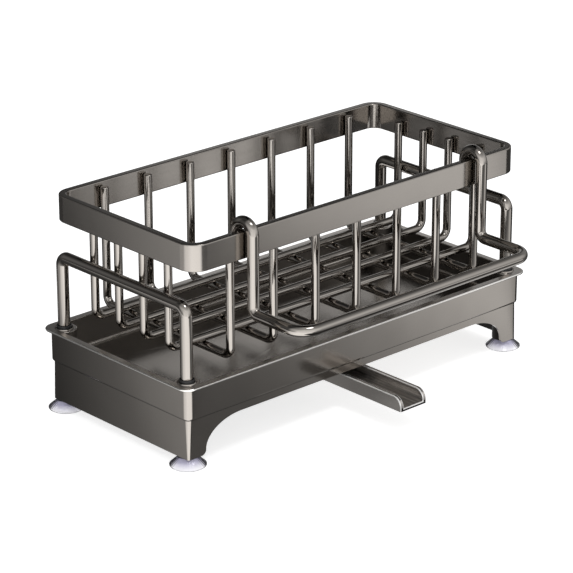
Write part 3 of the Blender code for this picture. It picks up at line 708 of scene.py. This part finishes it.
# Painted highlight: the outer roll of the lip is near white.
painted_highlight_lip = black_nickel("painted_highlight_lip", 0.12, (1, 1, 1), 0.000006, (LIP_HIGHLIGHT_DARK, LIP_HIGHLIGHT_LIGHT))
painted_light_pan = black_nickel("black_nickel_pan_painted_light", 0.20, (0.03, 1, 1), 0.00001, pan_painted_light_tones)
painted_light_flange = black_nickel("black_nickel_flange_painted_light", 0.30, (1, 1, 1), 0.00001, flange_painted_light_tones)
painted_shade_wall = black_nickel("black_nickel_wall_painted_shade", 0.40, (1, 1, 0.03), 0.00001, wall_painted_shade_tones)
dress(tray_pan, (polished_sheet, painted_highlight_lip, painted_light_pan, painted_light_flange, painted_shade_wall), "tray", "drip_tray")
for corner, (x, y) in leg_places.items():
    outside, top = SOCKET_RADIUS + COLLAR_WALL, RIM + COLLAR_HEIGHT
    profile = [(0, SOCKET_FLOOR), (SOCKET_RADIUS, SOCKET_FLOOR), (SOCKET_RADIUS, top - MOUTH_EASE)]
    profile += [(SOCKET_RADIUS + MOUTH_EASE, top), (outside - COLLAR_EASE, top), (outside, RIM + 0.0001)]
    profile += [(outside, RIM - COLLAR_FOOT), (SOCKET_RADIUS + SOCKET_SHEET, RIM - COLLAR_FOOT)]
    profile += [(SOCKET_RADIUS + SOCKET_SHEET, SOCKET_FLOOR - SOCKET_SHEET), (0, SOCKET_FLOOR - SOCKET_SHEET)]
    dress(turned("socket_cup_" + corner, profile, x, y), polished_sheet, "tray")


# Basket band. A flat steel bar with eased edges, bent to a rounded rectangle and butt welded, ground and
# polished before plating.
band_low, band_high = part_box("rim_band")
BAND_THICK = 0.0050
BAND_CORNER = 0.0118
BAND_EDGE = 0.0008
BAND_EDGE_STEPS = 5
BAND_CORNER_STEPS = 16
top, bottom, inside = band_high.z - BAND_EDGE, band_low.z + BAND_EDGE, BAND_THICK - BAND_EDGE
band_section = []
section_corners = [(BAND_EDGE, top), (BAND_EDGE, bottom), (inside, bottom), (inside, top)]
for middle, start in zip(section_corners, (90, 180, 270, 0)):
    band_section += arc(middle, BAND_EDGE, start, start + 90, BAND_EDGE_STEPS)
band_rings = []
for inset, height in band_section:
    length = band_high.x - band_low.x - 2 * inset
    depth = band_high.y - band_low.y - 2 * inset
    outline = rounded_rectangle(length, depth, BAND_CORNER - inset, BAND_CORNER_STEPS)
    band_rings.append([(x, y, height) for x, y in outline])
band = bmesh.new()
join_rings(band, band_rings, closed=True)
bright_bar = black_nickel("black_nickel_bar", 0.16, (0.03, 0.03, 1), 0.00002)
dress(mesh_piece("basket_band", band), bright_bar, "basket", "rim_band")


# Cross wires. Round wire bent to a U, down inside the band in front, back along the floor and up behind, and
# spot welded to the band.
WIRE_RADIUS = 0.0027
WIRE_BEND = 0.0060
WIRE_SIDES = 28
BEND_STEPS = 12
TIP_ROUND = 0.0007
TIP_STEPS = 4


def bent(corners, radii, steps=BEND_STEPS):
    """The points of a wire through these corners, each inner corner rounded to its bend radius."""
    corners = [Vector(corner) for corner in corners]
    points = [corners[0]]
    for before, here, after, radius in zip(corners, corners[1:], corners[2:], radii):
        back_way, ahead = (before - here).normalized(), (after - here).normalized()
        half = back_way.angle(ahead) / 2
        middle = here + (back_way + ahead).normalized() * radius / math.sin(half)
        first = (here + back_way * radius / math.tan(half) - middle).normalized()
        last = (here + ahead * radius / math.tan(half) - middle).normalized()
        for step in range(steps + 1):
            point = middle + radius * first.slerp(last, step / steps)
            if (point - points[-1]).length > GAP:
                points.append(point)
    points.append(corners[-1])
    return points


def rod(name, points, radius, sides=WIRE_SIDES):
    """A round rod along the points, its ends turned over by a small radius."""
    start, end = (points[1] - points[0]).normalized(), (points[-2] - points[-1]).normalized()
    angles = [math.radians(90 * step / TIP_STEPS) for step in range(TIP_STEPS + 1)]
    rounds = [(TIP_ROUND * (1 - math.cos(angle)), TIP_ROUND * (1 - math.sin(angle))) for angle in angles]
    stations = [(points[0] + start * along, radius - shrink) for along, shrink in rounds]
    stations += [(point, radius) for point in points[1:-1]]
    stations += [(points[-1] + end * along, radius - shrink) for along, shrink in reversed(rounds)]
    places = [place for place, size in stations]
    tangent = start
    across = tangent.orthogonal().normalized()
    rows = []
    for number, (place, size) in enumerate(stations):
        if len(rounds) <= number < len(stations) - len(rounds):
            ahead = (places[number + 1] - place).normalized()
            behind = (place - places[number - 1]).normalized()
            tangent = (ahead + behind).normalized()
        elif number >= len(stations) - len(rounds):
            tangent = -end
        across = (across - tangent * across.dot(tangent)).normalized()
        beside = tangent.cross(across)
        turns = [2 * math.pi * side / sides for side in range(sides)]
        rows.append([place + across * size * math.cos(a) + beside * size * math.sin(a) for a in turns])
    shape = bmesh.new()
    lines = join_rings(shape, rows)
    shape.faces.new(lines[0])
    shape.faces.new(lines[-1])
    return mesh_piece(name, shape, sharp=60)


polished_wire = black_nickel("black_nickel_wire", 0.08, (1, 1, 0.03), 0.000008)
for number in range(1, 8):
    node = f"cross_wire_{number}"
    wire_low, wire_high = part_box(node)
    x = (wire_low.x + wire_high.x) / 2
    front_y, back_y = wire_low.y + WIRE_RADIUS, wire_high.y - WIRE_RADIUS
    floor_z, tip_z = wire_low.z + WIRE_RADIUS, wire_high.z
    corners = [(x, front_y, tip_z), (x, front_y, floor_z), (x, back_y, floor_z), (x, back_y, tip_z)]
    wire = rod("basket_" + node, bent(corners, (WIRE_BEND, WIRE_BEND)), WIRE_RADIUS)
    dress(wire, polished_wire, "basket", node)


# Long wires. The same wire, bent the other way on: down inside the band at the left end, along the floor on
# top of the cross wires, and up at the right end.
for number in range(1, 5):
    node = f"long_wire_{number}"
    wire_low, wire_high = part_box(node)
    y = (wire_low.y + wire_high.y) / 2
    left_x, right_x = wire_low.x + WIRE_RADIUS, wire_high.x - WIRE_RADIUS
    floor_z, tip_z = wire_low.z + WIRE_RADIUS, wire_high.z
    corners = [(left_x, y, tip_z), (left_x, y, floor_z), (right_x, y, floor_z), (right_x, y, tip_z)]
    wire = rod("basket_" + node, bent(corners, (WIRE_BEND, WIRE_BEND)), WIRE_RADIUS)
    dress(wire, polished_wire, "basket", node)


# End loops. Thick rod bent to a low arch at each end of the basket and welded to the ends of the long wires.
# Their feet stand in the tray's sockets and carry the basket.
LOOP_RADIUS = 0.0039
LOOP_BEND = 0.0055
ROD_SIDES = 36
ROD_BEND_STEPS = 16
for side in ("left", "right"):
    node = "end_loop_" + side
    loop_low, loop_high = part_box(node)
    x = (loop_low.x + loop_high.x) / 2
    front_y, back_y = loop_low.y + LOOP_RADIUS, loop_high.y - LOOP_RADIUS
    foot, top = loop_low.z, loop_high.z - LOOP_RADIUS
    corners = [(x, front_y, foot), (x, front_y, top), (x, back_y, top), (x, back_y, foot)]
    points = bent(corners, (LOOP_BEND, LOOP_BEND), ROD_BEND_STEPS)
    loop = rod("basket_" + node, points, LOOP_RADIUS, ROD_SIDES)
    dress(loop, polished_wire, "basket", node)


# Leg caps. Black moulded sleeves pressed on the loops' feet, which keep the plating off the sockets. A short
# ring of each shows above the tray.
CAP_BORE = LOOP_RADIUS + GAP
CAP_RADIUS = CAP_BORE + 0.0005
CAP_FLOOR = 0.001
CAP_EASE = 0.00015

PLASTIC_DARK = (0.012, 0.012, 0.013)
PLASTIC_LIGHT = (0.03, 0.03, 0.031)
GRAIN_SCALE = 2600
BLOOM_SCALE = 240


def black_plastic():
    """Moulded black plastic: a fine grain, and a bloom that is a little lighter in places."""
    material, shader, place = new_material("black_plastic")
    grain = place.noise(GRAIN_SCALE, 2)
    bloom = place.noise(BLOOM_SCALE, 2)
    plug(shader, "Base Color", bloom.blend(PLASTIC_DARK, PLASTIC_LIGHT))
    plug(shader, "Roughness", 0.34 + bloom * 0.22)
    height = grain * 0.00003
    plug(shader, "Normal", height.add("Bump", {}, {"Strength": 0.5, "Distance": 1.0, "Height": height}))
    return material


plastic = black_plastic()
for corner, (x, y) in leg_places.items():
    node = "leg_cap_" + corner
    cap_low, cap_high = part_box(node)
    base, top = cap_low.z, cap_high.z
    profile = [(0, base + CAP_FLOOR), (CAP_BORE, base + CAP_FLOOR), (CAP_BORE, top - 0.0001)]
    profile += [(CAP_BORE + 0.0001, top), (CAP_RADIUS - CAP_EASE, top), (CAP_RADIUS, top - CAP_EASE)]
    profile += [(CAP_RADIUS, base + 0.0004), (CAP_RADIUS - 0.0004, base), (0, base)]
    dress(turned("sleeve_" + corner, profile, x, y), plastic, "basket", node, slot="black_cap")


# Towel bar. One rod with a hook at each end that drops over the band. The arms come forward under the band's
# level, and the bar runs across in front.
towel_low, towel_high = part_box("towel_bar")
TOWEL_RADIUS = 0.0037
HOOK_FRONT_PLAY = 0.0015
HOOK_BACK_PLAY = 0.0011
HOOK_TIP = 0.0025           # how far the hooks' ends stay above the band's lower edge
ARM = 0.0908                # the arms' height over the counter
ARM_BEND = 0.0052
BAR_BEND = 0.0120
leg = band_low.y - HOOK_FRONT_PLAY - TOWEL_RADIUS
tip = band_low.y + BAND_THICK + HOOK_BACK_PLAY + TOWEL_RADIUS
hook_bend = (tip - leg) / 2
crown = towel_high.z - TOWEL_RADIUS
bar = towel_low.y + TOWEL_RADIUS
left, right = towel_low.x + TOWEL_RADIUS, towel_high.x - TOWEL_RADIUS
end = band_low.z + HOOK_TIP
corners = [(left, tip, end), (left, tip, crown), (left, leg, crown), (left, leg, ARM), (left, bar, ARM)]
corners += [(right, y, z) for _, y, z in reversed(corners)]
radii = [hook_bend, hook_bend, ARM_BEND, BAR_BEND]
towel_points = bent(corners, radii + radii[::-1], ROD_BEND_STEPS)
towel_rod = rod("towel_rod", towel_points, TOWEL_RADIUS, ROD_SIDES)
dress(towel_rod, polished_wire, "towel_bar", "towel_bar")


# Studio. A pale floor that keeps the caddy's shadow under a white surround, a lamp, and boards that only the
# bright metal sees: white in front and to the left, grey to the right and dark behind, with a patch for the
# spout's side and another for the inside of the band's right end.
world = bpy.data.worlds.new("white_surround")
bpy.context.scene.world = world
world.use_nodes = True
background = world.node_tree.nodes["Background"]
FILL_LIGHT = 0.60
SEEN_WHITE = 1.0


def seen(shade):
    """1 for what the camera sees, straight or in metal and glass, and 0 for light that falls on the caddy."""
    paths = [shade.add("LightPath", out=f"Is {kind} Ray") for kind in ("Camera", "Glossy", "Transmission")]
    return (paths[0] + paths[1] + paths[2]).at_most(1.0)


plug(background, "Color", (1, 1, 1, 1))
plug(background, "Strength", FILL_LIGHT + seen(Shade(world.node_tree)) * (SEEN_WHITE - FILL_LIGHT))

FLOOR_REACH = 6.0
FLOOR_GLOW = 0.74
ground = bmesh.new()
bmesh.ops.create_grid(ground, x_segments=1, y_segments=1, size=FLOOR_REACH)
studio_floor = mesh_piece("studio_floor", ground, weighted=False)
floor_paint, floor_shader, floor_place = new_material("pale_floor")
plug(floor_shader, "Base Color", (0.80, 0.80, 0.80, 1))
plug(floor_shader, "Roughness", 0.9)
plug(floor_shader, "Specular IOR Level", 0.0)
plug(floor_shader, "Emission Color", (1, 1, 1, 1))
plug(floor_shader, "Emission Strength", seen(floor_place) * FLOOR_GLOW)
studio_floor.data.materials.append(floor_paint)

AZIMUTH = math.radians(-42.725)  # of the camera's view, as is the elevation
ELEVATION = math.radians(21.331)
BOARD_REACH = 0.85
BOARD_LIFT = 0.0002
BOARD_WHITE = 2.6
CORNER_LEFT, CORNER_RIGHT, CORNER_FRONT = -0.145, 0.144, -0.042  # by the stand's two front corners


def turn(x, y):
    """The direction of a place on the floor, as a share of a turn: 0.5 is towards the camera's side."""
    along = x * math.sin(AZIMUTH) - y * math.cos(AZIMUTH)
    beside = x * math.cos(AZIMUTH) + y * math.sin(AZIMUTH)
    return x.math("ARCTAN2", beside, along) / (2 * math.pi) + 0.5


def mask(shade, start, end, stops):
    """Shares from 0 to 1 along a ramp from one value of a shade to another."""
    stops = [((place - start) / (end - start), share) for place, share in stops]
    return shade.add("ValToRGB", {"stops": stops}, {"Fac": (shade - start) / (end - start)})


def light(shade, start, end, stops):
    """Light levels along a ramp from one value of a shade to another, as shares of a white board."""
    return mask(shade, start, end, [(place, level / BOARD_WHITE) for place, level in stops])


def mix(one, two, share):
    """One shade where a share is 0 and the other where it is 1."""
    return one + (two - one) * share


def board(name, shape, levels):
    """A board that lights only what mirrors it."""
    piece = mesh_piece(name, shape, weighted=False)
    paint, shader, place = new_material(name)
    x, y, z = [place.add("SeparateXYZ", {}, {"Vector": place}, out=axis) for axis in range(3)]
    plug(shader, "Base Color", (0, 0, 0, 1))
    plug(shader, "Specular IOR Level", 0.0)
    plug(shader, "Emission Color", levels(x, y, z))
    plug(shader, "Emission Strength", BOARD_WHITE)
    piece.data.materials.append(paint)
    for kind in ("camera", "diffuse", "transmission", "shadow", "volume_scatter"):
        setattr(piece, "visible_" + kind, False)


LEFT_FADE = [(-0.58, 2.0), (-0.43, 1.5), (-0.36, 0.85), (-0.30, 0.62), (-0.25, 0.50), (-0.224, 0.38)]
LEFT_FADE += [(-0.197, 0.24), (-0.17, 0.17), (-0.143, 0.10), (-0.12, 0.05)]
NEAR_RISE = [(-0.12, 0.15), (-0.075, 0.18), (-0.043, 0.24), (-0.015, 0.33), (0.057, 0.57), (0.092, 0.78)]
NEAR_RISE += [(0.132, 1.0), (0.157, 1.15), (0.30, 1.3)]
FAR_RISE = [(-0.12, 0.5), (-0.03, 0.45), (0.03, 0.45), (0.073, 0.67), (0.12, 0.88), (0.18, 1.08), (0.30, 1.3)]
WEDGE = [(0.225, 0), (0.24, 0.55), (0.28, 0.68), (0.305, 1.6), (0.34, 1.8), (0.42, 2.1), (0.46, 2.4)]
WEDGE += [(0.65, 2.3), (0.685, 1.5), (0.70, 0.1), (0.75, 0)]
GAP_NEAR = [(0.69, 1), (0.70, 0.4), (0.725, 0.5), (0.743, 1)]
GAP_FAR = [(0.612, 1), (0.627, 0.4), (0.735, 0.5), (0.752, 1)]
BAND_END_FADE = [(0.22, 0), (0.25, 0.62), (0.275, 0.56), (0.30, 0.46), (0.345, 0.27), (0.39, 0.09), (0.42, 0)]
LEFT_CAP = 0.75 / BOARD_WHITE
LEFT_SLANT, FRONT_SLANT = 1.4, 0.3
AWAY_FROM, AWAY_SPAN = 0.20, 0.08
WEDGE_TURN, WEDGE_SPREAD = 0.018, 0.32
CORNER_SHARE = 0.1 / BOARD_WHITE
FLOOR_BLACK = 0.012


def floor_levels(x, y, z):
    """White on the camera's side, black to the left of the stand and grey to white in front of it."""
    # How far round the stand's left corner a place lies, and how far out: 0 near the stand, 1 well away.
    from_left, from_front = x - CORNER_LEFT, y - CORNER_FRONT
    around = turn(from_left, from_front)
    reach = x.math("SQRT", from_left * from_left + from_front * from_front)
    away = ((reach - AWAY_FROM) / AWAY_SPAN).at_least(0.0).at_most(1.0)
    # What the stand's left end mirrors, and what its front does: lighter to the right, with a darker strip.
    left = light(y + x * LEFT_SLANT, -0.60, -0.10, LEFT_FADE)
    left = mix(left, left.at_most(LEFT_CAP), away)
    near, far = [light(x + y * FRONT_SLANT, -0.20, 0.40, rise) for rise in (NEAR_RISE, FAR_RISE)]
    front = mix(near, far, mask(y, -0.29, -0.13, [(-0.29, 1), (-0.14, 0)]))
    front = front * mix(mask(around, 0, 1, GAP_NEAR), mask(around, 0, 1, GAP_FAR), away)
    plain = mix(left, front, mask(around, 0, 1, [(0.46, 0), (0.50, 1)]))
    # The white wedge on the camera's side, cut off behind the stand's corners.
    spread = (around - 0.5 + away * WEDGE_TURN) * (1 + away * WEDGE_SPREAD) + 0.5
    wedge = light(spread, 0.22, 0.75, WEDGE).at_least(plain)
    wedge = wedge * mask(around, 0, 1, [(0.085, 0), (0.12, 1)])
    right = turn(x - CORNER_RIGHT, from_front)
    wedge = wedge * mask(right, 0, 1, [(0.05, CORNER_SHARE), (0.10, 1), (0.742, 1), (0.758, CORNER_SHARE)])
    # One patch that the spout's side mirrors, and one behind that the inside of the band's right end mirrors.
    spout = light(y, -0.08, 0.02, [(-0.075, 0), (-0.062, 0.42), (-0.035, 0.22), (-0.008, 0.15), (0.0, 0)])
    spout = spout * mask(x, -0.08, -0.01, [(-0.068, 0), (-0.060, 1), (-0.034, 1), (-0.026, 0)])
    band_end = light(y, 0.20, 0.45, BAND_END_FADE)
    band_end = band_end * mask(x, -0.30, -0.08, [(-0.26, 0), (-0.23, 1), (-0.15, 1), (-0.12, 0)])
    return wedge.at_least(spout.at_least(band_end)) + FLOOR_BLACK


AROUND_LEVELS = [(0.0, 0.32), (0.02, 0.27), (0.05, 0.08), (0.13, 0.07), (0.18, 0.14), (0.235, 0.28)]
AROUND_LEVELS += [(0.26, 0.14), (0.32, 0.16), (0.36, 0.9), (0.50, 1.8), (0.62, 1.6), (0.74, 1.1), (0.80, 0.9)]
AROUND_LEVELS += [(0.85, 0.45), (0.91, 0.38), (0.96, 0.40), (1.0, 0.32)]
UPWARD_SHARES = [(0, 0.4), (0.15, 0.65), (0.33, 1.0), (0.55, 1.0), (0.70, 0.6), (0.80, 0.45), (1, 0.45)]
BEHIND_LEVELS = [(0.22, 0.45), (0.26, 0.8), (0.33, 0.55), (0.435, 0.72), (0.455, 0.60), (0.485, 0.62)]
BEHIND_LEVELS += [(0.52, 0.14), (0.57, 0.07)]
SLANT = 1.77
SLANT_DARK = [(0.398, 1), (0.405, 0.1), (0.428, 0.1), (0.436, 1), (0.462, 1), (0.482, 0.05)]


def dome_levels(x, y, z):
    """White in front, grey to the right and dark behind, dimmer towards the floor and overhead."""
    height = z / BOARD_REACH
    around = turn(x, y)
    sides = light(around, 0, 1, AROUND_LEVELS) * mask(height, 0, 1, UPWARD_SHARES)
    glow = light(around, 0, 1, [(0.36, 0), (0.43, 2.0), (0.60, 2.0), (0.67, 0)])
    sides = sides.at_least(glow * mask(height, 0, 1, [(0, 1), (0.35, 0.9), (0.62, 0)]))
    # Behind: soft light low down for the pan and the band, cut off by two edges that slope like the band.
    away = (turn(0 - x, 0 - y) - 0.5) * SLANT
    low = light(height, 0, 1, BEHIND_LEVELS) * mask(height - away, 0, 1, SLANT_DARK)
    low = low * mask(height + away, 0, 1, [(0.530, 1), (0.548, 0.06)])
    return mix(sides, low, mask(around, 0, 1, [(0.022, 1), (0.042, 0), (0.92, 0), (0.955, 1)]))


def flag_levels(x, y, z):
    """Black at the left to dark grey at the right, close in front of the towel bar."""
    return light(x, -0.11, 0.16, [(-0.10, 0.05), (0.03, 0.09), (0.15, 0.32)])


disc = bmesh.new()
lifted = Matrix.Translation((0, 0, BOARD_LIFT))
bmesh.ops.create_circle(disc, cap_ends=True, segments=64, radius=BOARD_REACH, matrix=lifted)
board("floor_board", disc, floor_levels)
dome = bmesh.new()
bmesh.ops.create_uvsphere(dome, u_segments=96, v_segments=48, radius=BOARD_REACH)
below = [vertex for vertex in dome.verts if vertex.co.z < -0.001]
bmesh.ops.delete(dome, geom=below, context="VERTS")
board("dome_board", dome, dome_levels)
FLAG_LEFT, FLAG_RIGHT = -0.105, 0.150
FLAG_NEAR, FLAG_FAR = -0.122, -0.100
FLAG_HEIGHT = ARM - 0.013
flag = bmesh.new()
corners = [(FLAG_LEFT, FLAG_NEAR), (FLAG_RIGHT, FLAG_NEAR), (FLAG_RIGHT, FLAG_FAR), (FLAG_LEFT, FLAG_FAR)]
flag.faces.new([flag.verts.new((x, y, FLAG_HEIGHT)) for x, y in corners])
board("dark_board", flag, flag_levels)

LAMP_PLACE = Vector((-0.02, -0.28, 0.72))
LAMP_AIM = Vector((0, 0.02, 0.06))
lamp = bpy.data.lights.new("overhead", "AREA")
lamp.shape = "RECTANGLE"
lamp.size, lamp.size_y = 0.22, 0.14
lamp.energy = 0.9
overhead = bpy.data.objects.new("overhead", lamp)
overhead.location = LAMP_PLACE
overhead.rotation_mode = "QUATERNION"
overhead.rotation_quaternion = (LAMP_AIM - LAMP_PLACE).to_track_quat("-Z", "Y")
bpy.context.scene.collection.objects.link(overhead)

# The camera, placed to show the caddy as it was photographed.
LENS = 177.31
DISTANCE = 1.81943
TARGET = Vector((0, MIDDLE.y, 0.06249))
SHIFT = (-0.006659, -0.000585)
level = math.cos(ELEVATION)
ahead = Vector((-math.sin(AZIMUTH) * level, math.cos(AZIMUTH) * level, -math.sin(ELEVATION)))
camera_data = bpy.data.cameras.new("camera")
camera_data.lens = LENS
camera_data.sensor_width = 36
camera_data.shift_x, camera_data.shift_y = SHIFT
camera = bpy.data.objects.new("camera", camera_data)
camera.rotation_mode = "QUATERNION"
camera.rotation_quaternion = ahead.to_track_quat("-Z", "Y")
camera.location = TARGET - ahead * DISTANCE
bpy.context.scene.collection.objects.link(camera)
bpy.context.scene.camera = camera
bpy.context.scene.view_settings.view_transform = "Standard"
